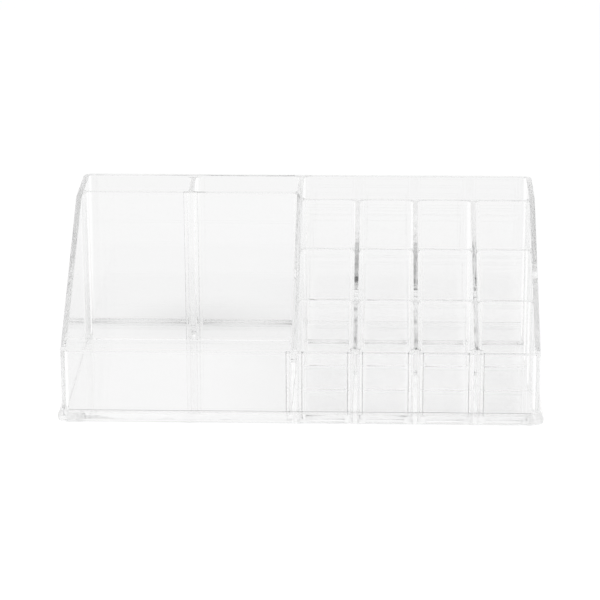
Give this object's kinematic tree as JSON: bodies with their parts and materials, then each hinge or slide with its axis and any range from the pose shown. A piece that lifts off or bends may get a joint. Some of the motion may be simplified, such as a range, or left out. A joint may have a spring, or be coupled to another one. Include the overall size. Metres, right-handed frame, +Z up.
{
  "type": "vanity organizer",
  "caption": "Clear plastic counter-top organizer: an open tray, stepped rows of lipstick cells and rear pockets, with sloped sides on a proud base.",
  "frame": {"origin": "middle of the base's underside, on the surface that it stands on", "axes": "+X to the right seen from the front, +Y to the back, +Z up"},
  "size_m": [0.22, 0.125, 0.079],
  "materials": {
    "clear_plastic": "clear, polished, with faint moulding waviness and light handling marks"
  },
  "bodies": {
    "root": {"base_plate": "clear_plastic", "front_wall": "clear_plastic", "back_wall": "clear_plastic", "left_side_wall": "clear_plastic", "right_side_wall": "clear_plastic", "centre_divider": "clear_plastic", "tray_rear_wall": "clear_plastic", "rear_pocket_divider": "clear_plastic", "lipstick_rear_wall": "clear_plastic", "lipstick_divider_1": "clear_plastic", "lipstick_divider_2": "clear_plastic", "lipstick_divider_3": "clear_plastic", "lipstick_front_row_wall_1": "clear_plastic", "lipstick_front_row_wall_2": "clear_plastic", "lipstick_front_row_wall_3": "clear_plastic", "lipstick_front_row_wall_4": "clear_plastic", "lipstick_middle_row_wall_1": "clear_plastic", "lipstick_middle_row_wall_2": "clear_plastic", "lipstick_middle_row_wall_3": "clear_plastic", "lipstick_middle_row_wall_4": "clear_plastic"}
  },
  "joints": []
}
